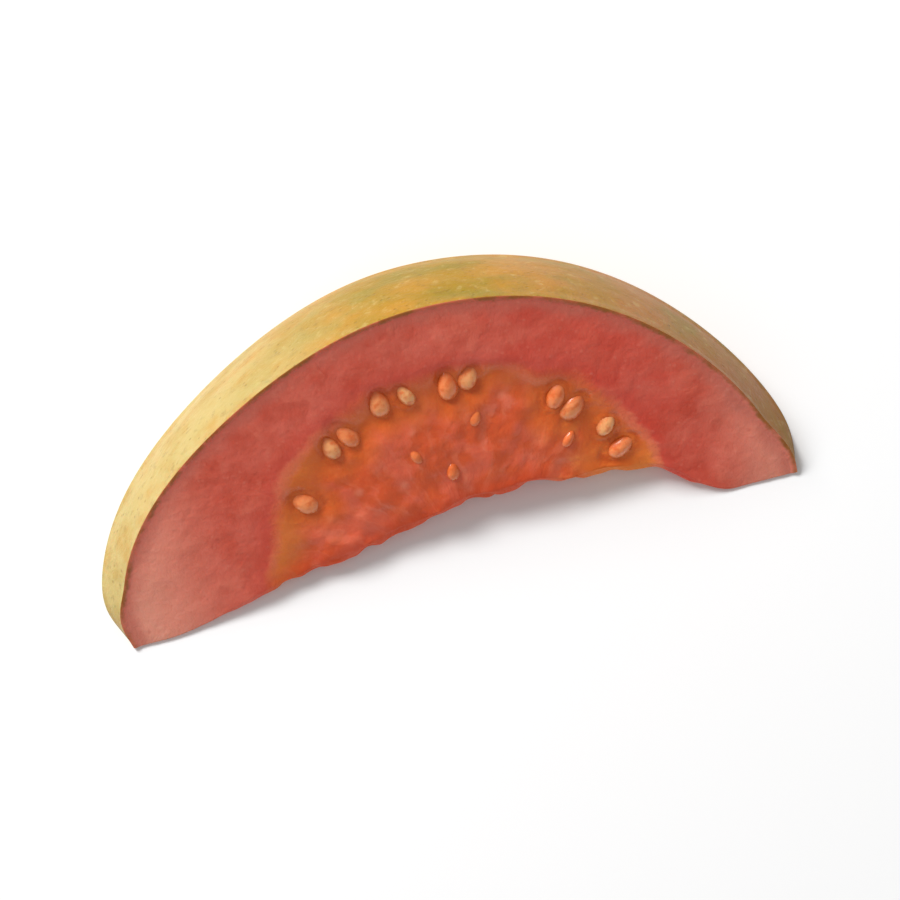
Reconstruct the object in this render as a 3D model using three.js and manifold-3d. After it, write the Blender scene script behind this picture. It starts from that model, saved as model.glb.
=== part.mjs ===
// A wedge of pink guava, cut lengthwise from a whole fruit, lying on one of its two cut faces.
// Peel, flesh and pulp grew as one piece, so they are one solid, with the hard seeds standing out of the pulp.
// While it is built, the fruit's axis is the X axis, the peel is towards +Y and the lower cut face is z = 0.
import * as THREE from 'three';
import { mergeVertices } from 'three/addons/utils/BufferGeometryUtils.js';
import Module from 'manifold-3d';

// The whole fruit, in millimetres: a body of revolution, widest a little past its middle, with a flattened
// shoulder at the stem end, a taper at the blossom end and a dimple in both ends.
const FRUIT_RADIUS = 32.3;
const WIDEST_AT = 1.5;
const STEM_LENGTH = 39.6;
const BLOSSOM_LENGTH = 36.4;
const SHOULDER_FLATTENING = 0.06;
const BLOSSOM_TAPER = 0.16;
const STEM_DIMPLE = 2.8;
const BLOSSOM_DIMPLE = 1.2;
const DIMPLE_RADIUS = 4.2;

// The two knife cuts. Each tip ends a little short of the fruit's axis, so that it isn't a knife edge. The fruit
// isn't quite round, so the upper cut's outline is shorter: its ends are drawn in, less so close to the tips.
const WEDGE_ANGLE = THREE.MathUtils.degToRad(33);
const TIP_OFFSET = 0.8;
const UPPER_DRAWN_IN = 2.1;
const DRAWN_IN_FROM = 9;

// Inner edge, where the soft core has come away: a low step at the stem end, then a bay, deepest just past the
// middle and shallower beyond it, with a steep far end.
const STEM_STEP = { rise: 3.8, from: -32, to: -14 };
const CORE_BAY = { rise: 3.7, from: -18, to: 8 };
const BAY_SHALLOWS = { fall: 1.6, from: 4, to: 21 };
const BAY_END = { from: 20.5, to: 30 };
const EDGE_RIPPLE = { height: 0.3, wavelength: 7.5 };
const LOWER_EDGE_SHARE = 0.88;
const EDGE_BULGE = 0.35;

// Seed pulp: half an oval round the core, sunk below the knife's plane, deepest along the row of seeds.
const PULP = { centre: 1.5, halfLength: 21.8, height: 24.5, power: 2.15 };
const PULP_SINK = { floor: 0.35, groove: 0.6, grooveAt: 2.4, grooveWidth: 2.4, wall: 1.4 };

// Seeds lie along the lines to the core, in clusters of [degrees round the pulp from the stem end, count].
const SEED = { length: 3.5, width: 2.2, thickness: 2.1 };
const SEED_GAP = 7;
const SEED_SWING = 0.6;
const SEED_ROW_REACH = 0.905;
const UPPER_CLUSTERS = [[35, 1], [56, 2], [77, 2], [98, 2], [132, 2], [146, 1], [156, 1]];
const LOWER_CLUSTERS = [[26, 2], [44, 1], [62, 2], [84, 2], [103, 1], [120, 2], [138, 2], [155, 1]];
const SEED_STANDING = 0.75;
const BURIED_SEEDS = { count: 5, size: 0.62, from: -12, to: 16, standing: 0.25, clearOfEdge: 2, clearOfRow: 5 };
const SEAT_GAP = 0.1;

// Facets: stations along the fruit, then steps across each side of the wedge.
const STATIONS = 56;
const FACE_STEPS = 13;
const PEEL_STEPS = 6;
const EDGE_STEPS = 3;
const SEED_DETAIL = 1;

const { cos, sin, PI, abs, min, exp, atan2 } = Math;
const { lerp, smoothstep, degToRad } = THREE.MathUtils;

const wasm = await Module();
wasm.setup();

// The peel's outline: t runs from 0 at the stem end, over the widest part, to PI at the blossom end, and share
// from 0 on the lower cut to 1 on the upper. x is along the fruit's axis and rho is the distance from it.
function peelPoint(t, share) {
  const stemHalf = t < PI / 2;
  const slimming = stemHalf ? SHOULDER_FLATTENING * sin(2 * t) ** 2 : BLOSSOM_TAPER * cos(t) ** 4;
  const rho = TIP_OFFSET + (FRUIT_RADIUS - TIP_OFFSET) * sin(t) * (1 - slimming);
  const dimple = (stemHalf ? STEM_DIMPLE : -BLOSSOM_DIMPLE) * exp(-((rho / DIMPLE_RADIUS) ** 2));
  const drawnIn = UPPER_DRAWN_IN * share * cos(t) * smoothstep(rho, TIP_OFFSET, DRAWN_IN_FROM);
  return { x: WIDEST_AT - (stemHalf ? STEM_LENGTH : BLOSSOM_LENGTH) * cos(t) + dimple + drawnIn, rho };
}

const stemTip = peelPoint(0, 0).x;
const blossomTip = peelPoint(PI, 0).x;

// Distance of the inner edge from the fruit's axis. share is 1 on the upper cut face and less on the lower.
function innerRho(x, share) {
  const step = STEM_STEP.rise * smoothstep(x, STEM_STEP.from, STEM_STEP.to);
  const bay = CORE_BAY.rise * smoothstep(x, CORE_BAY.from, CORE_BAY.to);
  const shallows = BAY_SHALLOWS.fall * smoothstep(x, BAY_SHALLOWS.from, BAY_SHALLOWS.to);
  const ripple = EDGE_RIPPLE.height * sin(2 * PI * x / EDGE_RIPPLE.wavelength) * bay / CORE_BAY.rise;
  const open = 1 - smoothstep(x, BAY_END.from, BAY_END.to);
  return TIP_OFFSET + share * (step + bay - shallows + share * ripple) * open;
}

// How far the cut surface is sunk below the knife's plane, which it is only inside the pulp's outline.
function sink(x, rho) {
  const along = abs(x - PULP.centre) / PULP.halfLength;
  const oval = (along ** PULP.power + (rho / PULP.height) ** PULP.power) ** (1 / PULP.power);
  const inside = (1 - oval) * PULP.height;
  const groove = exp(-(((inside - PULP_SINK.grooveAt) / PULP_SINK.grooveWidth) ** 2));
  return (PULP_SINK.floor + PULP_SINK.groove * groove) * smoothstep(inside, 0, PULP_SINK.wall);
}

// A point at angle phi about the fruit's axis, raised off the half plane at phi by lift.
function pointAt(x, rho, phi, lift) {
  return new THREE.Vector3(x, rho * cos(phi) - lift * sin(phi), rho * sin(phi) + lift * cos(phi));
}

// The two cut faces, each with its own outward side: the lower looks down, the upper looks up.
const lowerFace = { place: (x, rho, lift) => pointAt(x, rho, 0, -lift), peelShare: 0, edgeShare: LOWER_EDGE_SHARE };
const upperFace = { place: (x, rho, lift) => pointAt(x, rho, WEDGE_ANGLE, lift), peelShare: 1, edgeShare: 1 };

// One closed ring of the wedge at t: out over the lower face, up the peel, back over the upper face, and
// down the inner edge, which bulges a little towards the core.
function ring(t) {
  const innerX = lerp(stemTip, blossomTip, (1 - cos(t)) / 2);
  const across = (face, share) => {
    const peel = peelPoint(t, face.peelShare);
    const x = lerp(innerX, peel.x, share);
    const rho = lerp(innerRho(innerX, face.edgeShare), peel.rho, share);
    return face.place(x, rho, -sink(x, rho));
  };
  const points = [];
  for (let i = 0; i < FACE_STEPS; i++) points.push(across(lowerFace, i / FACE_STEPS));
  for (let i = 0; i < PEEL_STEPS; i++) {
    const peel = peelPoint(t, i / PEEL_STEPS);
    points.push(pointAt(peel.x, peel.rho, WEDGE_ANGLE * i / PEEL_STEPS, 0));
  }
  for (let i = 0; i < FACE_STEPS; i++) points.push(across(upperFace, 1 - i / FACE_STEPS));
  const top = across(upperFace, 0);
  const bottom = across(lowerFace, 0);
  const bulge = EDGE_BULGE * min(1, (innerRho(innerX, 1) - TIP_OFFSET) / CORE_BAY.rise);
  for (let i = 0; i < EDGE_STEPS; i++) {
    const point = top.clone().lerp(bottom, i / EDGE_STEPS);
    point.y -= bulge * sin(PI * i / EDGE_STEPS);
    points.push(point);
  }
  return points;
}

// A closed geometry as a solid that can be joined to others. Only its positions are kept.
function solidFrom(geometry) {
  for (const name of Object.keys(geometry.attributes)) {
    if (name !== 'position') geometry.deleteAttribute(name);
  }
  const merged = mergeVertices(geometry);
  return new wasm.Manifold(new wasm.Mesh({
    numProp: 3,
    vertProperties: new Float32Array(merged.attributes.position.array),
    triVerts: new Uint32Array(merged.index.array),
  }));
}

// The wedge without its seeds: rings joined from one tip to the other, each tip closed at a point.
function wedgeBody() {
  const rings = [];
  for (let i = 1; i < STATIONS; i++) rings.push(ring(PI * i / STATIONS));
  const size = rings[0].length;
  const lastRing = (rings.length - 1) * size;
  const stem = rings.length * size;
  const blossom = stem + 1;
  const tips = [stemTip, blossomTip].map((x) => pointAt(x, TIP_OFFSET, WEDGE_ANGLE / 2, 0));
  const faces = [];
  for (let k = 0; k < size; k++) {
    const next = (k + 1) % size;
    faces.push(stem, next, k);
    faces.push(blossom, lastRing + k, lastRing + next);
    for (let r = 0; r < lastRing; r += size) {
      faces.push(r + k, r + next, r + size + next);
      faces.push(r + k, r + size + next, r + size + k);
    }
  }
  const geometry = new THREE.BufferGeometry().setFromPoints([...rings.flat(), ...tips]);
  geometry.setIndex(faces);
  return solidFrom(geometry);
}

// A repeatable draw between 0 and 1 for seed number i, a different one for each use.
function draw(i, use) {
  const value = (i + 1) * 0.6180339887 + use * 0.7548776662;
  return value - Math.floor(value);
}

// The seeds of one cut face: where each is, how far it stands out of the pulp and its share of full size.
// The row of clusters just inside the pulp's outline comes first, then the buried ones nearer the core.
function seedPlaces(clusters) {
  const places = [];
  for (const [middle, count] of clusters) {
    for (let k = 0; k < count; k++) {
      const i = places.length;
      const angle = degToRad(middle + (k - (count - 1) / 2) * SEED_GAP + (draw(i, 1) - 0.5) * 2);
      const reach = SEED_ROW_REACH + (draw(i, 2) - 0.5) * 0.05;
      const x = PULP.centre - PULP.halfLength * reach * cos(angle);
      const standing = SEED_STANDING * lerp(0.8, 1.1, draw(i, 3));
      places.push({ x, rho: PULP.height * reach * sin(angle), standing, size: lerp(0.88, 1.12, draw(i, 4)) });
    }
  }
  for (let k = 0; k < BURIED_SEEDS.count; k++) {
    const i = places.length;
    const x = lerp(BURIED_SEEDS.from, BURIED_SEEDS.to, (k + draw(i, 1)) / BURIED_SEEDS.count);
    const outline = PULP.height * (1 - (abs(x - PULP.centre) / PULP.halfLength) ** PULP.power) ** (1 / PULP.power);
    const nearest = innerRho(x, 1) + BURIED_SEEDS.clearOfEdge;
    const rho = lerp(nearest, outline - BURIED_SEEDS.clearOfRow, draw(i, 2));
    places.push({ x, rho, standing: BURIED_SEEDS.standing, size: BURIED_SEEDS.size });
  }
  return places;
}

// One seed, an ellipsoid rooted in the pulp, with its length along the line to the core. On the lower face
// it stops short of the knife's plane, which the slice lies on.
function seedSolid({ x, rho, standing, size }, i, face) {
  const half = new THREE.Vector3(SEED.width, SEED.length, SEED.thickness).multiplyScalar(size / 2);
  const depth = sink(x, rho);
  const height = face === lowerFace ? min(standing, depth - SEAT_GAP) : standing;
  const heading = atan2(rho, x - PULP.centre) + (draw(i, 5) - 0.5) * SEED_SWING;
  const foot = face.place(x, rho, 0);
  const outward = face.place(x, rho, 1).sub(foot);
  const lengthwise = face.place(x + cos(heading), rho + sin(heading), 0).sub(foot);
  const sideways = new THREE.Vector3().crossVectors(lengthwise, outward);
  const matrix = new THREE.Matrix4()
    .makeBasis(sideways, lengthwise, outward)
    .scale(half)
    .setPosition(face.place(x, rho, height - depth - half.z));
  return solidFrom(new THREE.IcosahedronGeometry(1, SEED_DETAIL).applyMatrix4(matrix));
}

// The whole slice, with its origin moved to the middle of its underside.
function sliceGeometry() {
  let solid = wedgeBody();
  for (const [clusters, face] of [[UPPER_CLUSTERS, upperFace], [LOWER_CLUSTERS, lowerFace]]) {
    seedPlaces(clusters).forEach((place, i) => {
      solid = solid.add(seedSolid(place, i, face));
    });
  }
  const { vertProperties, triVerts } = solid.getMesh();
  const geometry = new THREE.BufferGeometry();
  geometry.setAttribute('position', new THREE.BufferAttribute(new Float32Array(vertProperties), 3));
  geometry.setIndex(new THREE.BufferAttribute(new Uint32Array(triVerts), 1));
  geometry.computeBoundingBox();
  const { min: low, max: high } = geometry.boundingBox;
  geometry.translate(-(low.x + high.x) / 2, -(low.y + high.y) / 2, -low.z);
  geometry.computeVertexNormals();
  return geometry;
}

const flesh = new THREE.MeshStandardMaterial({ color: 0xd8735c, roughness: 0.45, metalness: 0 });
const slice = new THREE.Mesh(sliceGeometry(), flesh);
slice.name = 'guava_slice';

const guava = new THREE.Group();
guava.add(slice);

export default guava;
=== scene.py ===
import math

import bpy
import numpy as np
from mathutils import Matrix, Vector


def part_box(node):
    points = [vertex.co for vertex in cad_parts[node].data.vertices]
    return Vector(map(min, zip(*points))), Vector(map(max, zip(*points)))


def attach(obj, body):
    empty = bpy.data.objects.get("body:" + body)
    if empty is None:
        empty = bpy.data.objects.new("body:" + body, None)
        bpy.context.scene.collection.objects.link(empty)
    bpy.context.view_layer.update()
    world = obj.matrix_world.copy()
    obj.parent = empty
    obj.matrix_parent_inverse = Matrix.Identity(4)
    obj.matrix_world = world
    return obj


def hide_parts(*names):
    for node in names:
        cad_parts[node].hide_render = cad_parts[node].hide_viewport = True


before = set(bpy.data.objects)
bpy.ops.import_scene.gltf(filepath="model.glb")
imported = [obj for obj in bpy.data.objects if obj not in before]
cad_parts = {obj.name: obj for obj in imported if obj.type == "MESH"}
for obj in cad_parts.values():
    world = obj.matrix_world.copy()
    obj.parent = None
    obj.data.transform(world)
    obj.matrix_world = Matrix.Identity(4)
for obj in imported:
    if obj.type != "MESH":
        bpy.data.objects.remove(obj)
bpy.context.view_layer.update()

# The slice's outline. The fruit was a body of revolution, cut through its axis by two strokes of a knife,
# and its soft core came away from the inner edge. Lengths are in millimetres until a mesh is made. x runs
# along the fruit's axis, rho is the distance from it, and phi the angle about it from the lower cut face.
MM = 0.001
FRUIT_RADIUS = 32.3
WIDEST_AT = 1.5
STEM_LENGTH = 39.6
BLOSSOM_LENGTH = 36.4
SHOULDER_FLATTENING = 0.06
BLOSSOM_TAPER = 0.16
STEM_DIMPLE = 2.8
BLOSSOM_DIMPLE = 1.2
DIMPLE_RADIUS = 4.2
WEDGE_ANGLE = math.radians(33)
TIP_OFFSET = 0.8
UPPER_DRAWN_IN = 2.1
DRAWN_IN_FROM = 9
STEM_STEP = {"rise": 3.8, "start": -32, "end": -14}
CORE_BAY = {"rise": 3.7, "start": -18, "end": 8}
BAY_SHALLOWS = {"fall": 1.6, "start": 4, "end": 21}
BAY_END = {"start": 20.5, "end": 30}
EDGE_RIPPLE = {"height": 0.3, "wavelength": 7.5}
LOWER_EDGE_SHARE = 0.88
EDGE_BULGE = 0.35
INSIDE_THE_SOLID = 0.999
STATIONS = 400


def ease(value, start, end):
    """0 up to start, 1 from end on, and a smooth S between them."""
    share = np.clip((value - start) / (end - start), 0, 1)
    return share * share * (3 - 2 * share)


def peel_outline(t, share=0.0):
    """The peel at t, from 0 at the stem end to pi at the blossom end: half an ellipse for each half of the
    fruit, slimmed at the shoulder by the square of sin 2t and at the blossom end by the fourth power of
    cos t, with a bell-shaped dimple in both ends. share is 0 on the lower cut and 1 on the upper, where the
    ends are drawn towards the middle by the cosine of t, but not close to the tips. Returns x and rho."""
    stem_half = t < math.pi / 2
    slimming = np.where(stem_half, SHOULDER_FLATTENING * np.sin(2 * t) ** 2, BLOSSOM_TAPER * np.cos(t) ** 4)
    rho = TIP_OFFSET + (FRUIT_RADIUS - TIP_OFFSET) * np.sin(t) * (1 - slimming)
    dimple = np.where(stem_half, STEM_DIMPLE, -BLOSSOM_DIMPLE) * np.exp(-((rho / DIMPLE_RADIUS) ** 2))
    drawn_in = UPPER_DRAWN_IN * share * np.cos(t) * ease(rho, TIP_OFFSET, DRAWN_IN_FROM)
    return WIDEST_AT - np.where(stem_half, STEM_LENGTH, BLOSSOM_LENGTH) * np.cos(t) + dimple + drawn_in, rho


def inner_edge(x, share):
    """Distance of the inner edge from the fruit's axis: a low step, a deeper bay with a rippled edge that
    grows shallower past the middle, and a steep return to the axis. share is 1 on the upper cut face and
    less on the lower one."""
    step = STEM_STEP["rise"] * ease(x, STEM_STEP["start"], STEM_STEP["end"])
    bay = CORE_BAY["rise"] * ease(x, CORE_BAY["start"], CORE_BAY["end"])
    shallows = BAY_SHALLOWS["fall"] * ease(x, BAY_SHALLOWS["start"], BAY_SHALLOWS["end"])
    wave = np.sin(2 * math.pi * x / EDGE_RIPPLE["wavelength"])
    ripple = EDGE_RIPPLE["height"] * wave * bay / CORE_BAY["rise"]
    still_open = 1 - ease(x, BAY_END["start"], BAY_END["end"])
    return TIP_OFFSET + share * (step + bay - shallows + share * ripple) * still_open


stations = np.linspace(0, math.pi, STATIONS + 1)
outline_x, _ = peel_outline(stations)
stem_tip, blossom_tip = outline_x[0], outline_x[-1]

# The part's origin is the middle of its underside, and the peel's furthest points fix that on the frame.
_, cad_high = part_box("guava_slice")
ORIGIN_X = outline_x.max() - cad_high.x / MM
ORIGIN_Y = FRUIT_RADIUS - cad_high.y / MM


def in_frame(x, rho, phi, lift=0.0):
    """Points at angle phi about the fruit's axis, lifted off the half plane at phi, in metres in the frame.
    They are a thousandth smaller, so that the smooth outline stays inside the box of the faceted solid."""
    y = rho * np.cos(phi) - lift * np.sin(phi)
    z = rho * np.sin(phi) + lift * np.cos(phi)
    return np.stack(np.broadcast_arrays(x - ORIGIN_X, y - ORIGIN_Y, z), axis=-1) * MM * INSIDE_THE_SOLID


# The seeds of both cut faces. Hard pale seeds lie along the lines to the core, in clusters just inside the
# pulp's outline, and a few more are buried nearer the core. Each is half sunk in a pit of clear jelly.
PULP = {"centre": 1.5, "half_length": 21.8, "height": 24.5, "power": 2.15}
PULP_SINK = {"floor": 0.35, "wall": 1.4}
GROOVE = {"depth": 0.6, "at": 2.4, "width": 3.0}
DRAW_RATIOS = (0.6180339887, 0.7548776662)
SEED_SIZE = np.array([2.2, 3.5, 2.1])
SEED_GAP = 7
SEED_SWING = 0.6
SEED_ROW_REACH = 0.905
SPREAD = {"angle": 2, "reach": 0.05, "standing": 0.3, "size": 0.24}
LEAST_STANDING = 0.8
LEAST_SIZE = 0.88
EGG = {"blunt": 0.16, "two_waves": 0.05, "three_waves": 0.04, "wave_turn": 6.3}
UPPER_CLUSTERS = [(35, 1), (56, 2), (77, 2), (98, 2), (132, 2), (146, 1), (156, 1)]
LOWER_CLUSTERS = [(26, 2), (44, 1), (62, 2), (84, 2), (103, 1), (120, 2), (138, 2), (155, 1)]
SEED_STANDING = 0.75
BURIED_SEEDS = {"count": 5, "size": 0.62, "start": -12, "end": 16, "standing": 0.25}
BURIED_CLEAR_OF_EDGE = 2
BURIED_CLEAR_OF_ROW = 5
BURIED_TONE = 2.0
SEAT_GAP = 0.1
SEED_AROUND = 20
SEED_ALONG = 12


def draw(i, use):
    """A repeatable draw between 0 and 1 for seed number i, a different one for each use: both numbers times
    their ratio, added up, without the whole part."""
    return ((i + 1) * DRAW_RATIOS[0] + use * DRAW_RATIOS[1]) % 1


def pulp_inside(x, rho):
    """Millimetres inside the pulp's outline, which is half a superellipse, and below 0 outside it."""
    along = np.abs(x - PULP["centre"]) / PULP["half_length"]
    oval = (along ** PULP["power"] + (rho / PULP["height"]) ** PULP["power"]) ** (1 / PULP["power"])
    return (1 - oval) * PULP["height"]


def hump(value, kind):
    """1 where value is at the kind's place, falling as e to the minus square of its distance in widths."""
    return np.exp(-(((value - kind["at"]) / kind["width"]) ** 2))


def sunk(x, rho):
    """How far the pulp lies below the knife's plane: a shallow floor, and a groove along the row of seeds."""
    inside = pulp_inside(x, rho)
    groove = GROOVE["depth"] * hump(inside, GROOVE)
    return (PULP_SINK["floor"] + groove) * ease(inside, 0, PULP_SINK["wall"])


def seed_rows(clusters, on_lower):
    """One row for each seed of a cut face: x, rho, how far it stands out of the pulp, heading and size. The
    buried ones lie between the inner edge and the row of clusters, whose outline is half a superellipse."""
    rows = []
    for middle, count in clusters:
        for k in range(count):
            i = len(rows)
            degrees = middle + (k - (count - 1) / 2) * SEED_GAP + (draw(i, 1) - 0.5) * SPREAD["angle"]
            angle = math.radians(degrees)
            reach = SEED_ROW_REACH + (draw(i, 2) - 0.5) * SPREAD["reach"]
            x = PULP["centre"] - PULP["half_length"] * reach * math.cos(angle)
            rho = PULP["height"] * reach * math.sin(angle)
            standing = SEED_STANDING * (LEAST_STANDING + SPREAD["standing"] * draw(i, 3))
            rows.append([x, rho, standing, LEAST_SIZE + SPREAD["size"] * draw(i, 4)])
    for k in range(BURIED_SEEDS["count"]):
        i = len(rows)
        along = (k + draw(i, 1)) / BURIED_SEEDS["count"]
        x = BURIED_SEEDS["start"] + (BURIED_SEEDS["end"] - BURIED_SEEDS["start"]) * along
        off_centre = abs(x - PULP["centre"]) / PULP["half_length"]
        outline = PULP["height"] * (1 - off_centre ** PULP["power"]) ** (1 / PULP["power"])
        nearest = inner_edge(x, 1) + BURIED_CLEAR_OF_EDGE
        rho = nearest + (outline - BURIED_CLEAR_OF_ROW - nearest) * draw(i, 2)
        rows.append([x, rho, BURIED_SEEDS["standing"], BURIED_SEEDS["size"]])
    x, rho, standing, size = np.array(rows).T
    i = np.arange(len(rows))
    if on_lower:
        standing = np.minimum(standing, sunk(x, rho) - SEAT_GAP)
    heading = np.arctan2(rho, x - PULP["centre"]) + (draw(i, 5) - 0.5) * SEED_SWING
    return {"x": x, "rho": rho, "standing": standing, "heading": heading, "size": size}


def lattice_faces(rows, columns):
    """Quads of a lattice numbered row by row, whose columns join round."""
    k = np.arange(columns)
    near = np.arange(rows - 1)[:, None] * columns
    following = (k + 1) % columns
    quads = np.stack([near + k, near + following, near + columns + following, near + columns + k], axis=-1)
    return quads.reshape(-1, 4)


def cap_faces(rows, columns):
    """Triangles that close both ends of such a lattice on its two tips, numbered after it."""
    k = np.arange(columns)
    following = (k + 1) % columns
    last = (rows - 1) * columns
    first_tip = np.full(columns, rows * columns)
    near_cap = np.stack([first_tip, following, k], axis=-1)
    far_cap = np.stack([first_tip + 1, last + k, last + following], axis=-1)
    return np.concatenate([near_cap, far_cap])


def add_piece(name, points, faces, attributes=None):
    """A smooth mesh object at the origin, with a value of each attribute at every point."""
    mesh = bpy.data.meshes.new(name)
    mesh.from_pydata(points.reshape(-1, 3).tolist(), [], faces)
    mesh.polygons.foreach_set("use_smooth", np.ones(len(mesh.polygons), bool))
    for key, values in (attributes or {}).items():
        layer = mesh.attributes.new(key, "FLOAT", "POINT")
        layer.data.foreach_set("value", values.astype(np.float32).ravel())
    piece = bpy.data.objects.new(name, mesh)
    bpy.context.scene.collection.objects.link(piece)
    return piece


def seed_piece(name, rows, phi, side):
    """All the seeds of one cut face as one mesh. A seed is an egg about its length, blunt at one end, with
    two and three shallow waves round it, scaled to its width, length and thickness and sunk into the pulp.
    side is 1 where the face looks up and -1 where it looks down."""
    count = len(rows["x"])
    i = np.arange(count)[:, None, None]
    along = np.linspace(0, math.pi, SEED_ALONG + 1)[1:-1][None, :, None]
    around = np.linspace(0, 2 * math.pi, SEED_AROUND, endpoint=False)[None, None, :]
    two_waves = EGG["two_waves"] * np.cos(2 * around + EGG["wave_turn"] * draw(i, 6))
    three_waves = EGG["three_waves"] * np.cos(3 * around + EGG["wave_turn"] * draw(i, 7))
    girth = np.sin(along) * (1 - EGG["blunt"] * np.cos(along)) * (1 + two_waves + three_waves)
    half = SEED_SIZE / 2
    lengthwise = half[1] * np.broadcast_to(np.cos(along), girth.shape)
    sideways, raised = half[0] * girth * np.cos(around), half[2] * girth * np.sin(around)
    shape = np.stack([sideways, lengthwise, raised], axis=-1)
    ends = np.zeros((count, 2, 3))
    ends[:, 0, 1], ends[:, 1, 1] = half[1], -half[1]
    points = np.concatenate([shape.reshape(count, -1, 3), ends], axis=1) * rows["size"][:, None, None]
    sideways, lengthwise, raised = points[..., 0], points[..., 1], points[..., 2]
    cos_h, sin_h = np.cos(rows["heading"])[:, None], np.sin(rows["heading"])[:, None]
    x = rows["x"][:, None] + lengthwise * cos_h + side * sideways * sin_h
    rho = rows["rho"][:, None] + lengthwise * sin_h - side * sideways * cos_h
    middle = rows["standing"] - sunk(rows["x"], rows["rho"]) - half[2] * rows["size"]
    placed = in_frame(x, rho, phi, side * (raised + middle[:, None]))
    one = lattice_faces(SEED_ALONG - 1, SEED_AROUND)[:, ::-1]
    caps = cap_faces(SEED_ALONG - 1, SEED_AROUND)[:, ::-1]
    offsets = (np.arange(count) * points.shape[1])[:, None, None]
    faces = (one + offsets).reshape(-1, 4).tolist() + (caps + offsets).reshape(-1, 3).tolist()
    tone = np.where(rows["size"] > BURIED_SEEDS["size"], draw(np.arange(count), 8), BURIED_TONE)
    return add_piece(name, placed, faces, {
        "tone": np.broadcast_to(tone[:, None], points.shape[:2]),
        "crown": raised / (half[2] * rows["size"][:, None]),
    })


upper_seeds = seed_rows(UPPER_CLUSTERS, on_lower=False)
lower_seeds = seed_rows(LOWER_CLUSTERS, on_lower=True)
seeds_upper = seed_piece("seeds_upper", upper_seeds, WEDGE_ANGLE, 1)
seeds_under = seed_piece("seeds_under", lower_seeds, 0.0, -1)


class Value:
    """A node's output. Arithmetic on it adds Math nodes, so that shader maths reads as Python."""

    def __init__(self, finish, socket):
        self.finish = finish
        self.socket = socket

    def math(self, operation, *terms):
        return self.finish.node("Math", {"operation": operation}, dict(enumerate(terms)))

    def __add__(self, other):
        return self.math("ADD", self, other)

    def __sub__(self, other):
        return self.math("SUBTRACT", self, other)

    def __mul__(self, other):
        return self.math("MULTIPLY", self, other)

    def __radd__(self, other):
        return self.math("ADD", other, self)

    def __rsub__(self, other):
        return self.math("SUBTRACT", other, self)

    def __rmul__(self, other):
        return self.math("MULTIPLY", other, self)

    def ease(self, start, end, low=0.0, high=1.0):
        """low up to start, high from end on, and a smooth S between them."""
        settings = {"interpolation_type": "SMOOTHSTEP"}
        sockets = {"Value": self, "From Min": start, "From Max": end, "To Min": low, "To Max": high}
        if start > end:
            sockets.update({"From Min": end, "From Max": start, "To Min": high, "To Max": low})
        return self.finish.node("MapRange", settings, sockets)


class Finish:
    """A material built of nodes round one Principled shader, whose unchanging sockets are given by name."""

    def __init__(self, name, constants):
        self.material = bpy.data.materials.new(name)
        self.material.use_nodes = True
        self.tree = self.material.node_tree
        self.shader = self.tree.nodes["Principled BSDF"]
        self.join(self.shader, constants)
        self.place = self.node("TexCoord", output="Object")

    def join(self, node, sockets):
        for key, value in sockets.items():
            if isinstance(value, Value):
                self.tree.links.new(value.socket, node.inputs[key])
            else:
                node.inputs[key].default_value = value

    def node(self, kind, settings=None, sockets=None, output=0):
        """Adds a node: its settings first, then the values and links of its sockets."""
        made = self.tree.nodes.new("ShaderNode" + kind)
        for key, setting in (settings or {}).items():
            setattr(made, key, setting)
        self.join(made, sockets or {})
        return Value(self, made.outputs[output])

    def attribute(self, name):
        return self.node("Attribute", {"attribute_name": name}, output="Fac")

    def noise(self, size, detail, stretch=(1, 1, 1), roughness=0.5):
        """Soft random patches of about that size in metres, between 0 and 1, drawn out by stretch."""
        scale = tuple(1 / (size * s) for s in stretch)
        scaled = self.node("Mapping", {}, {"Vector": self.place, "Scale": scale})
        sockets = {"Vector": scaled, "Scale": 1.0, "Detail": detail, "Roughness": roughness}
        return self.node("TexNoise", {}, sockets)

    def mix(self, share, first, second):
        """A colour from first, at share 0, to second, at share 1."""
        return self.node("Mix", {"data_type": "RGBA"}, {0: share, 6: first, 7: second}, 2)

    def dots(self, size, radius):
        """1 at scattered points about size apart, falling to 0 at radius from each, as shares of size."""
        cells = self.node("TexVoronoi", {}, {"Vector": self.place, "Scale": 1 / size}, "Distance")
        return cells.ease(radius, 0.0)

    def bump(self, height, distance, strength=1.0):
        """The normal of a surface on which a height of 1 stands that distance out, in metres."""
        return self.node("Bump", {}, {"Height": height, "Distance": distance, "Strength": strength})

    def paint(self, **sockets):
        """Links what changes over the surface to the shader, under the sockets' names with _ for spaces."""
        self.join(self.shader, {key.replace("_", " "): value for key, value in sockets.items()})


def srgb(red, green, blue):
    """A display colour of 0 to 255 a channel as the linear one that a shader takes."""
    shares = np.array([red, green, blue]) / 255
    linear = np.where(shares <= 0.04045, shares / 12.92, ((shares + 0.055) / 1.055) ** 2.4)
    return (*linear.tolist(), 1.0)


# Seeds are pale salmon to orange tan, stained by the amber jelly that still clings to them as a wet skin
# with its own small highlights. Their sides take more of the stain colour and their crowns stay paler,
# partly the jelly on their sides and partly painted shade with a painted highlight on top.
SEED_PALE = srgb(255, 178, 114)
SEED_TAN = srgb(255, 144, 84)
SEED_STAIN_AND_SHADE = srgb(228, 100, 34)

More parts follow.
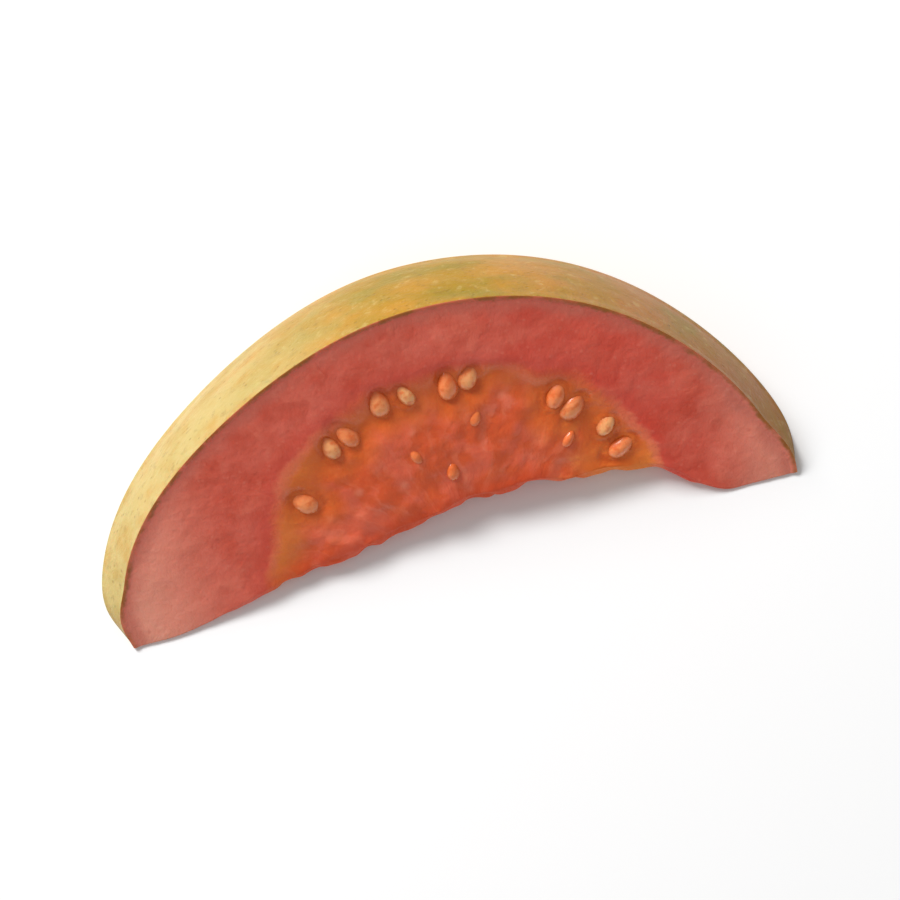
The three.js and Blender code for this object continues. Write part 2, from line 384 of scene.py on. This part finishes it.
seed_finish = Finish("guava_seed", {
    "IOR": 1.45,
    "Specular IOR Level": 0.4,
    "Subsurface Weight": 0.25,
    "Subsurface Radius": (1.0, 0.45, 0.2),
    "Subsurface Scale": 0.001,
    "Coat Roughness": 0.16,
})
tone = seed_finish.attribute("tone")
blotch = seed_finish.noise(0.0012, detail=3)
body_tone = seed_finish.mix(tone.ease(0.1, 0.9), SEED_PALE, SEED_TAN)
under_pulp = seed_finish.mix(tone.ease(1.0, BURIED_TONE, high=0.45), body_tone, SEED_STAIN_AND_SHADE)
blotched = seed_finish.mix(blotch.ease(0.46, 0.66, high=0.75), under_pulp, SEED_STAIN_AND_SHADE)
# Paler on the crown and darker down the sides: partly the clinging jelly's stain, partly painted shade and a
# painted highlight.
wavering = seed_finish.attribute("crown") + (blotch - 0.5) * 0.8
seed_colour = seed_finish.mix(wavering.ease(0.85, 0.4, high=0.75), blotched, SEED_STAIN_AND_SHADE)
seed_finish.paint(
    Base_Color=seed_colour,
    Roughness=blotch.ease(0.3, 0.7, 0.26, 0.42),
    Coat_Weight=blotch.ease(0.3, 0.6, 0.6, 0.3),
    Normal=seed_finish.bump(seed_finish.noise(0.0007, detail=3), 0.00012),
)
for seeds in (seeds_upper, seeds_under):
    seeds.data.materials.append(seed_finish.material)
    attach(seeds, "root")

# The body: peel, flesh, pulp and core tissue in one closed surface. The knife leaves the peel standing a
# hair above the flesh, the pulp sinks below the knife's plane with a pit round each seed and fine strands
# that fan out from the core, and the peel is softly lumpy.
LOWER_COLUMNS = (42, 22)
UPPER_COLUMNS = (82, 22)
PEEL_COLUMNS = 40
EDGE_COLUMNS = 14
RIM_SHARE = 0.09
PEEL_LIP = {"height": 0.12, "start": 0.2, "end": 0.8}
PULP_WALL = {"start": -1.4, "end": 3.2, "gentler": 3.6}
STEM_SIDE = {"start": 5, "end": 14}
PULP_LOBES = {"height": 0.9, "size": 4.2}
POCKET = {"share": 0.9, "shift": 0.32, "start": 1.75, "end": 1.0, "stem_loss": 0.15}
ROW_SHARE = 0.6
MOAT = {"depth": 0.06, "at": 1.55, "width": 0.35}
COLLAR = {"height": 0.34, "least_cover": 0.2, "at": 0.9, "width": 0.3}
STRANDS = {"height": 0.09, "per_radian": 16, "length": 4, "shift": 40}
PULP_LUMPS = {"height": 0.2, "size": 2.1}
PULP_GRAINS = {"height": 0.06, "size": 0.9}
FLESH_WAVES = {"height": 0.08, "size": 4.5}
FLESH_GRAINS = {"height": 0.02, "size": 0.9}
FLESH_CALM = {"start": 0.3, "end": 2}
PEEL_LUMPS = {"height": 0.3, "size": 7.0}
PEEL_DENTS = {"height": 0.12, "size": 1.5}
PEEL_CALM = {"rho": 8, "share": 0.12}
EDGE_TEARS = {"height": 0.4, "size": 1.5, "rows": 3}
EDGE_GRAIN = 12
MOTTLE_DRAWS = 128
MOTTLE_SHIFT = 60
FAR = 9.0


def mottle(u, v, seed):
    """Random heights from -1 to 1: a draw at each corner of a lattice of unit squares, eased across."""
    draws = np.random.default_rng(seed).uniform(-1, 1, (MOTTLE_DRAWS, MOTTLE_DRAWS))
    i, j = np.floor(u).astype(int), np.floor(v).astype(int)
    across, up = ease(u - i, 0, 1), ease(v - j, 0, 1)
    left, right = i % MOTTLE_DRAWS, (i + 1) % MOTTLE_DRAWS
    low, high = j % MOTTLE_DRAWS, (j + 1) % MOTTLE_DRAWS
    near = draws[left, low] * (1 - across) + draws[right, low] * across
    far = draws[left, high] * (1 - across) + draws[right, high] * across
    return near * (1 - up) + far * up


def rind_depth(x, rho, peel_share):
    """Millimetres from the outline of a cut's peel, as the distance to the nearest of its stations."""
    rim_x, rim_rho = peel_outline(stations, peel_share)
    return np.hypot(x[..., None] - rim_x, rho[..., None] - rim_rho).min(axis=-1)


def seed_reach(x, rho, rows):
    """Distance to the middle of the nearest pocket, in the half sizes of the seed in it, so that an outline
    like the seed's is at 1, and how far the jelly climbs over that seed, a draw. A pocket lies a little to
    one side of its seed, by an angle drawn. The buried seeds have no pocket and are passed over."""
    nearest = np.full(x.shape, FAR)
    cover = np.zeros(x.shape)
    for i in np.flatnonzero(rows["size"] > BURIED_SEEDS["size"]):
        aside = 2 * math.pi * draw(i, 10)
        dx = x - rows["x"][i] - POCKET["shift"] * math.cos(aside)
        dr = rho - rows["rho"][i] - POCKET["shift"] * math.sin(aside)
        cos_h, sin_h = np.cos(rows["heading"][i]), np.sin(rows["heading"][i])
        lengthwise = (dx * cos_h + dr * sin_h) / (SEED_SIZE[1] / 2 * rows["size"][i])
        sideways = (dx * sin_h - dr * cos_h) / (SEED_SIZE[0] / 2 * rows["size"][i])
        distance = np.hypot(lengthwise, sideways)
        cover = np.where(distance < nearest, draw(i, 9), cover)
        nearest = np.minimum(nearest, distance)
    return nearest, cover


def relief(kind, x, rho, seed):
    """Random lumps of one kind, of its height and its size across."""
    u, v = x / kind["size"] + MOTTLE_SHIFT, rho / kind["size"] + MOTTLE_SHIFT
    return kind["height"] * mottle(u, v, seed)


def lobed_inside(x, rho, seed):
    """Millimetres inside the pulp's real outline, which wanders in lobes about the superellipse."""
    return pulp_inside(x, rho) + relief(PULP_LOBES, x, rho, seed + 5)


def cut_lift(x, rho, rind, reach, cover, seed):
    """Height of a cut face over the knife's plane, never above it: the sunken pulp with its soft lobed wall,
    a pocket that bites into that wall at each seed, with a faint moat and a collar that climbs the seed's
    side, strands that fan out from the core, lumps and grains in the pulp, and faint waves in the flesh,
    which lies a little below the lip of the peel. Pockets are shallower and the wall gentler at the stem."""
    inside = lobed_inside(x, rho, seed)
    at_stem = ease(-x, STEM_SIDE["start"], STEM_SIDE["end"])
    pocket_depth = POCKET["share"] * (1 - POCKET["stem_loss"] * at_stem)
    pocket = pocket_depth * ease(reach, POCKET["start"], POCKET["end"])
    wall_end = PULP_WALL["end"] + PULP_WALL["gentler"] * at_stem
    in_pulp = np.maximum(ease(inside, PULP_WALL["start"], wall_end), pocket)
    groove = GROOVE["depth"] * np.maximum(ROW_SHARE * hump(inside, GROOVE), pocket)
    collar = COLLAR["height"] * (COLLAR["least_cover"] + cover) * hump(reach, COLLAR)
    pit = MOAT["depth"] * hump(reach, MOAT) - collar
    fan = np.arctan2(rho, x - PULP["centre"]) * STRANDS["per_radian"] + STRANDS["shift"]
    ray = np.hypot(rho, x - PULP["centre"]) / STRANDS["length"]
    strands = STRANDS["height"] * mottle(fan, ray, seed)
    lumps = relief(PULP_LUMPS, x, rho, seed + 1) + relief(PULP_GRAINS, x, rho, seed + 3)
    waves = relief(FLESH_WAVES, x, rho, seed + 2) + relief(FLESH_GRAINS, x, rho, seed + 4)
    lip = PEEL_LIP["height"] * ease(rind, PEEL_LIP["start"], PEEL_LIP["end"])
    pulp_lift = in_pulp * (strands + lumps - pit - PULP_SINK["floor"] - groove)
    flesh_lift = (1 - in_pulp) * ease(rind, FLESH_CALM["start"], FLESH_CALM["end"]) * waves
    return np.minimum(pulp_lift + flesh_lift - lip, 0)


def side_columns(body_columns, rim_columns):
    """Shares of the way from the inner edge to the peel, close together along the rim."""
    body = np.linspace(0, 1 - RIM_SHARE, body_columns, endpoint=False)
    return np.concatenate([body, np.linspace(1 - RIM_SHARE, 1, rim_columns, endpoint=False)])


def edge_along(t):
    """x on the inner edge at t, from the stem end's tip at 0 to the blossom end's at pi, by the cosine."""
    return stem_tip + (blossom_tip - stem_tip) * (1 - np.cos(t)) / 2


def cut_face(t, columns, peel_share, edge_share, phi, side, rows, seed):
    """One cut face as a lattice of t by share: straight lines from inner edge to peel, then lifted."""
    peel_x, peel_rho = (c[:, None] for c in peel_outline(t, peel_share))
    inner_x = edge_along(t[:, None])
    x = inner_x + (peel_x - inner_x) * columns
    start = inner_edge(inner_x, edge_share)
    rho = start + (peel_rho - start) * columns
    rind = rind_depth(x, rho, peel_share)
    reach, cover = seed_reach(x, rho, rows)
    lift = cut_lift(x, rho, rind, reach, cover, seed)
    inside = lobed_inside(x, rho, seed)
    return in_frame(x, rho, phi, side * lift), {
        "rind": rind,
        "pulp": inside,
        "reach": reach,
        "core": np.hypot(x - inner_x, rho - start),
        "cut": np.ones(x.shape),
        "fan": np.arctan2(rho, x - PULP["centre"]),
        "ray": np.hypot(rho, x - PULP["centre"]),
    }


def peel_face(t, shares):
    """The peel as a lattice of t by share of the wedge angle, pressed in by broad lumps and small dents that
    fade out at both rims."""
    x, rho = peel_outline(t[:, None], shares)
    phi = WEDGE_ANGLE * shares
    arc = rho * phi
    pressed = (PEEL_LUMPS["height"] + relief(PEEL_LUMPS, x, arc, 21)) / 2
    dented = (PEEL_DENTS["height"] + relief(PEEL_DENTS, x, arc, 22)) / 2
    off_tips = ease(rho, TIP_OFFSET, PEEL_CALM["rho"])
    off_rims = ease(np.minimum(shares, 1 - shares), 0, PEEL_CALM["share"])
    inset = (pressed + dented) * off_tips * off_rims
    flat = np.zeros_like(arc)
    return in_frame(x, rho - inset, phi), {
        "rind": flat,
        "pulp": flat - FAR,
        "reach": flat + FAR,
        "core": flat + FAR,
        "cut": flat,
        "fan": flat,
        "ray": flat,
    }


def edge_strip(top, bottom, t, shares):
    """The torn inner edge between the two cut faces, bulging towards the core and rough with small tears."""
    inner_x = edge_along(t[:, None])
    start = inner_edge(inner_x, 1)
    opened = ease(start - TIP_OFFSET, 0, CORE_BAY["rise"])
    torn = mottle(inner_x / EDGE_TEARS["size"] + MOTTLE_SHIFT, shares * EDGE_TEARS["rows"], 31)
    points = top[:, None] + (bottom - top)[:, None] * shares[None, :, None]
    bulge = (EDGE_BULGE + EDGE_TEARS["height"] * torn) * opened * np.sin(math.pi * shares)
    points[..., 1] -= bulge * MM
    flat = np.zeros(points.shape[:2])
    return points, {
        "rind": rind_depth(inner_x, start, 1) + flat,
        "pulp": pulp_inside(inner_x, start) + flat,
        "reach": flat + FAR,
        "core": flat,
        "cut": flat + 1,
        "fan": np.arctan2(start, inner_x - PULP["centre"]) + flat,
        "ray": np.hypot(start, inner_x - PULP["centre"]) + EDGE_GRAIN * shares,
    }


t = stations[1:-1]
lower_columns = side_columns(*LOWER_COLUMNS)
lower, lower_values = cut_face(t, lower_columns, 0, LOWER_EDGE_SHARE, 0.0, -1, lower_seeds, 11)
upper_columns = np.append(side_columns(*UPPER_COLUMNS), 1)
upper, upper_values = cut_face(t, upper_columns, 1, 1, WEDGE_ANGLE, 1, upper_seeds, 1)
peel_shares = (1 - np.cos(math.pi * np.arange(PEEL_COLUMNS) / PEEL_COLUMNS)) / 2
peel, peel_values = peel_face(t, peel_shares)
edge_shares = np.arange(1, EDGE_COLUMNS + 1) / (EDGE_COLUMNS + 1)
edge, edge_values = edge_strip(upper[:, 0], lower[:, 0], t, edge_shares)
upper_inwards = {key: column[:, ::-1] for key, column in upper_values.items()}
sides = [(lower, lower_values), (peel, peel_values), (upper[:, ::-1], upper_inwards), (edge, edge_values)]
rings = np.concatenate([points for points, _ in sides], axis=1)
tips = np.stack([in_frame(x, TIP_OFFSET, WEDGE_ANGLE / 2) for x in (stem_tip, blossom_tip)])
at_tips = {"rind": 0.0, "pulp": -FAR, "reach": FAR, "core": 0.0, "cut": 1.0, "fan": 0.0, "ray": 37.0}
values = {
    key: np.append(np.concatenate([columns[key] for _, columns in sides], axis=1), [tip_value] * 2)
    for key, tip_value in at_tips.items()
}
body = add_piece(
    "guava_body",
    np.concatenate([rings.reshape(-1, 3), tips]),
    lattice_faces(*rings.shape[:2]).tolist() + cap_faces(*rings.shape[:2]).tolist(),
    values,
)

# The body's finish: green-gold peel with dark pores and a brown tinge towards the blossom end, a ragged brown
# line at its cut edge, flesh that is dusky and then rosy, and orange pulp with amber round the seeds. The
# brown line and the dusky band are partly their own colour and partly painted shade along the peel's raised
# edge; the deep amber in the pockets is partly painted shade, and some yellow and pale patches in the pulp
# are partly painted light and painted glints. rind, pulp, core and ray are in millimetres, reach is in half
# sizes of a seed, and along is in metres.
PEEL_GOLD = srgb(178, 124, 12)
PEEL_GREEN = srgb(140, 116, 8)
PEEL_PALE = srgb(196, 174, 112)
PEEL_BROWN = srgb(166, 104, 56)
PEEL_PORE = srgb(112, 82, 16)
# The cut edge's brown and the dusky flesh colour beside it also serve as painted shade.
PEEL_EDGE_AND_SHADE = srgb(156, 100, 46)
FLESH_DUSK_AND_SHADE = srgb(212, 116, 98)
FLESH_ROSE = srgb(236, 114, 94)
FLESH_RED = srgb(218, 88, 66)
FLESH_CRIMSON = srgb(228, 76, 60)
FLESH_TIP = srgb(255, 168, 144)
PULP_ORANGE = srgb(231, 95, 46)
PULP_SALMON = srgb(240, 108, 74)
PULP_PALE = srgb(255, 146, 112)
PULP_YELLOW = srgb(255, 152, 62)
PIT_AMBER = srgb(236, 112, 38)
# The deep pocket colour also serves as painted shade.
POCKET_AMBER_AND_SHADE = srgb(222, 94, 26)
CORE_RED = srgb(220, 76, 44)
FLESH_FLECK = srgb(196, 76, 62)
FIBRE_PALE = srgb(255, 142, 116)

body_finish = Finish("guava_body", {
    "IOR": 1.38,
    "Specular IOR Level": 0.3,
    "Subsurface Weight": 0.3,
    "Subsurface Radius": (1.0, 0.3, 0.18),
    "Subsurface Scale": 0.0018,
    "Coat Roughness": 0.2,
})
rind, pulp, reach, core, cut, fan, ray = (body_finish.attribute(key) for key in at_tips)
along = body_finish.node("SeparateXYZ", {}, {0: body_finish.place}, "X")
broad = body_finish.noise(0.009, detail=3)
patchy = body_finish.noise(0.003, detail=4)
grain = body_finish.noise(0.0006, detail=3)

streaks = body_finish.noise(0.0036, detail=4, stretch=(1.6, 1, 1))
freckles = body_finish.noise(0.0012, detail=4, roughness=0.65)
greened = broad.ease(0.4, 0.66) * 0.6 + streaks.ease(0.42, 0.6) * 0.4
peel_base = body_finish.mix(greened, PEEL_GOLD, PEEL_GREEN)
paled = along.ease(0.002, -0.024, 0.04, 0.8)
peel_streaked = body_finish.mix(paled * streaks.ease(0.36, 0.6, 0.55, 1.0), peel_base, PEEL_PALE)
browning = along.ease(0.006, 0.03, high=0.8) * (1 - greened * 0.6)
peel_browned = body_finish.mix(browning, peel_streaked, PEEL_BROWN)
peel_freckled = body_finish.mix(freckles.ease(0.52, 0.74, high=0.32), peel_browned, PEEL_PORE)
peel_flecked = body_finish.mix(freckles.ease(0.46, 0.28, high=0.35), peel_freckled, PEEL_PALE)
pores = body_finish.dots(0.0011, 0.24)
peel_colour = body_finish.mix(pores * patchy.ease(0.35, 0.6, 0.15, 0.5), peel_flecked, PEEL_PORE)

fanned = body_finish.node("CombineXYZ", {}, {0: fan * 11.0 + patchy * 2.4, 1: ray * 0.2 + streaks * 1.2})
fibres = body_finish.node("TexNoise", {}, {"Vector": fanned, "Scale": 1.0, "Detail": 4.0})
flesh = body_finish.mix(patchy.ease(0.34, 0.66) * 0.6 + broad.ease(0.4, 0.6) * 0.4, FLESH_ROSE, FLESH_RED)
flesh = body_finish.mix(fibres.ease(0.5, 0.68, high=0.3), flesh, FIBRE_PALE)
crimson = along.ease(0.004, 0.014) * along.ease(0.03, 0.024)
flesh = body_finish.mix(crimson * streaks.ease(0.36, 0.58, 0.1, 0.45), flesh, FLESH_CRIMSON)
flesh = body_finish.mix(pulp.ease(-3.0, 0.2, high=0.45), flesh, FLESH_CRIMSON)
pale_tips = along.ease(-0.022, -0.035) * 0.95 + along.ease(0.027, 0.036) * 0.75
flesh = body_finish.mix(pale_tips, flesh, FLESH_TIP)
# Dusky band beside the peel: partly the flesh's own tone there, partly painted shade from the peel's raised
# edge.
wavering = rind + (patchy - 0.5) * 2.2
flesh = body_finish.mix(wavering.ease(2.8, 0.7, high=0.75), flesh, FLESH_DUSK_AND_SHADE)
# Ragged brown line at the peel's cut edge: partly the cut peel's own colour, partly painted shade where the
# peel's edge shades the flesh.
ragged = rind + (freckles - 0.5) * 1.1
flesh = body_finish.mix(ragged.ease(0.7, 0.15) * patchy.ease(0.4, 0.58, 0.45, 1.0), flesh, PEEL_EDGE_AND_SHADE)
flecks = body_finish.dots(0.0019, 0.2) * patchy.ease(0.4, 0.6) * rind.ease(1.0, 2.5)
flesh = body_finish.mix(flecks * 0.5, flesh, FLESH_FLECK)
stone_cells = body_finish.dots(0.0009, 0.34) * freckles.ease(0.42, 0.6)
flesh = body_finish.mix(stone_cells * 0.2, flesh, FLESH_TIP)

inside = pulp + (freckles - 0.5) * 1.6
jelly = body_finish.mix(patchy.ease(0.42, 0.6), PULP_ORANGE, PULP_SALMON)
jelly = body_finish.mix(fibres.ease(0.5, 0.68, high=0.3), jelly, PULP_PALE)
# Sparse pale dots in the jelly: partly pale flecks, partly painted glints.
jelly = body_finish.mix(body_finish.dots(0.0034, 0.24) * streaks.ease(0.4, 0.6) * 0.7, jelly, PULP_PALE)
# Yellow patches towards the blossom end of the pulp: partly yellow jelly, partly a painted highlight on wet
# jelly.
jelly = body_finish.mix(along.ease(0.009, 0.016) * patchy.ease(0.46, 0.6) * 0.7, jelly, PULP_YELLOW)
rim_amber = inside.ease(6.0, 2.0) * broad.ease(0.38, 0.56, 0.3, 0.9)
jelly = body_finish.mix(rim_amber, jelly, PIT_AMBER)
# Yellower at the stem end of the pulp's rim: partly the jelly's golden tone, partly painted light that lifts
# the shade on the sloping wall there.
jelly = body_finish.mix(along.ease(-0.009, -0.017) * inside.ease(5.0, 1.0) * 0.4, jelly, PULP_YELLOW)
# Yellow by the inner edge towards the blossom end: partly yellow jelly, partly a painted highlight.
jelly = body_finish.mix(along.ease(0.012, 0.017) * core.ease(4.5, 1.0) * 0.7, jelly, PULP_YELLOW)
jelly = body_finish.mix(reach.ease(3.2, 1.5, high=0.7), jelly, PIT_AMBER)
# Darker, deeper amber in the pocket round each seed: partly the jelly's colour, partly painted shade in the
# pocket.
jelly = body_finish.mix(reach.ease(1.8, 1.1) * freckles.ease(0.42, 0.58, 0.2, 0.8), jelly, POCKET_AMBER_AND_SHADE)
face_colour = body_finish.mix(inside.ease(-0.8, 1.5), flesh, jelly)
membrane = inside.ease(-0.9, 0.1) * inside.ease(1.4, 0.4) * broad.ease(0.42, 0.58, 0.0, 0.4)
face_colour = body_finish.mix(membrane, face_colour, PULP_PALE)
reddened = core.ease(2.4, 0.0, high=0.5) * inside.ease(-2.0, 1.0) * along.ease(0.016, 0.008, 0.3, 1.0)
face_colour = body_finish.mix(reddened, face_colour, CORE_RED)

# One height feeds one bump: pores and freckles on the peel, grains in the flesh, wet lumps in the pulp.
moist = inside.ease(-0.5, 1.5)
peel_height = grain * 0.5 + pores * -0.5 + freckles * 0.8
face_height = grain * 0.3 + freckles * 0.3 + fibres * 0.8 + patchy * moist * 0.8
body_finish.paint(
    Base_Color=body_finish.mix(cut, peel_colour, face_colour),
    Roughness=cut * (0.55 - moist * core.ease(0.0, 1.2) * 0.2) + (1 - cut) * (0.46 + (broad - 0.5) * 0.2),
    Coat_Weight=cut * moist * core.ease(0.2, 1.5) * 0.4,
    Normal=body_finish.bump(cut * face_height + (1 - cut) * peel_height * 0.6, 0.00022, 0.8),
)
body.data.materials.append(body_finish.material)
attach(body, "root")
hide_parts("guava_slice")

# The surface it lies on, the soft light from the upper left of the picture, and the camera, which looks
# down from high over the stem end.
FLOOR_HALF = 1.5
FLOOR_WHITE = (0.94, 0.94, 0.94, 1.0)
SKY_STRENGTH = 0.4
SOFTBOX = {"distance": 0.9, "size": 0.36, "power": 9.7, "elevation": math.radians(39)}
PICTURE_TURN = math.radians(14.9)
LIGHT_FROM = Vector((-0.72, 0.69))
VIEW_WIDTH = 0.0945
CAMERA_HEIGHT = 0.875
VIEW_CENTRE = (2.0, 12.3)
CAMERA_OVER = (-37.0, 4.6)

picture_right = Vector((math.cos(PICTURE_TURN), -math.sin(PICTURE_TURN), 0))
picture_up = Vector((math.sin(PICTURE_TURN), math.cos(PICTURE_TURN), 0))


def on_floor(point, height=0.0):
    """A point given in millimetres from the fruit's axis and middle, in metres in the frame."""
    return Vector((point[0] - ORIGIN_X, point[1] - ORIGIN_Y, height / MM)) * MM


def aim(at, target, up):
    """The matrix of a camera or light at a place, looking at a target, with up towards the picture's top."""
    back = (at - target).normalized()
    right = up.cross(back).normalized()
    return Matrix.Translation(at) @ Matrix((right, back.cross(right), back)).transposed().to_4x4()


corners = np.array([(-1, -1, 0), (1, -1, 0), (1, 1, 0), (-1, 1, 0)]) * FLOOR_HALF
floor = add_piece("floor", corners, [(0, 1, 2, 3)])
floor_finish = Finish("floor_white", {"Base Color": FLOOR_WHITE, "Roughness": 0.8})
floor.data.materials.append(floor_finish.material)

scene = bpy.context.scene
world = bpy.data.worlds.new("sky")
world.use_nodes = True
world.node_tree.nodes["Background"].inputs["Color"].default_value = (1, 1, 1, 1)
world.node_tree.nodes["Background"].inputs["Strength"].default_value = SKY_STRENGTH
scene.world = world
scene.view_settings.view_transform = "Standard"

light_data = bpy.data.lights.new("softbox", "AREA")
light_data.shape = "SQUARE"
light_data.size = SOFTBOX["size"]
light_data.energy = SOFTBOX["power"]
softbox = bpy.data.objects.new("softbox", light_data)
level = (picture_right * LIGHT_FROM.x + picture_up * LIGHT_FROM.y).normalized()
towards = level * math.cos(SOFTBOX["elevation"]) + Vector((0, 0, math.sin(SOFTBOX["elevation"])))
softbox.matrix_world = aim(towards * SOFTBOX["distance"], Vector((0, 0, 0)), picture_up)
scene.collection.objects.link(softbox)

camera_data = bpy.data.cameras.new("camera")
target = on_floor(VIEW_CENTRE)
place = on_floor(CAMERA_OVER, CAMERA_HEIGHT)
camera_data.lens = camera_data.sensor_width * (place - target).length / VIEW_WIDTH
camera = bpy.data.objects.new("camera", camera_data)
camera.matrix_world = aim(place, target, picture_up)
scene.collection.objects.link(camera)
scene.camera = camera
